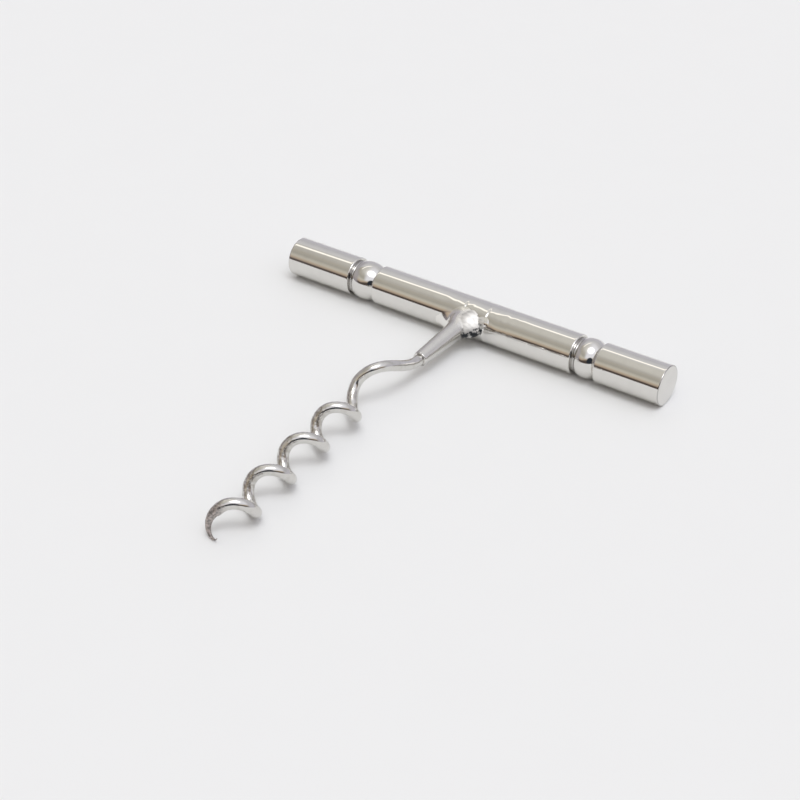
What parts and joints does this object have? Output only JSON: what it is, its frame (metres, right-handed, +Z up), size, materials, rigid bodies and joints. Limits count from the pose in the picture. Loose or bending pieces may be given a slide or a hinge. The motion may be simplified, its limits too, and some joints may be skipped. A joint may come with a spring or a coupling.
{
  "type": "corkscrew",
  "caption": "Straight-pull corkscrew of plated steel: a turned T bar handle, a tapered shank welded to its middle and a right-handed wire worm with a ground point.",
  "frame": {"origin": "under the middle of the footprint, on the surface that the corkscrew lies on", "axes": "+X along the bar handle, +Y from the worm's point towards the handle, +Z up from the surface"},
  "size_m": [0.1074, 0.1034, 0.0111],
  "materials": {
    "plated_bar": "mirror polish, bright nickel plating",
    "plated_shank": "soft polish, bright nickel plating",
    "plated_weld": "uneven hand polish, bright nickel plating",
    "plated_wire": "bright nickel plating, duller and darker at the ground point"
  },
  "bodies": {
    "root": {"handle_bar": "plated_bar", "shank": "plated_shank", "weld_bead": "plated_weld", "worm": "plated_wire"}
  },
  "joints": []
}
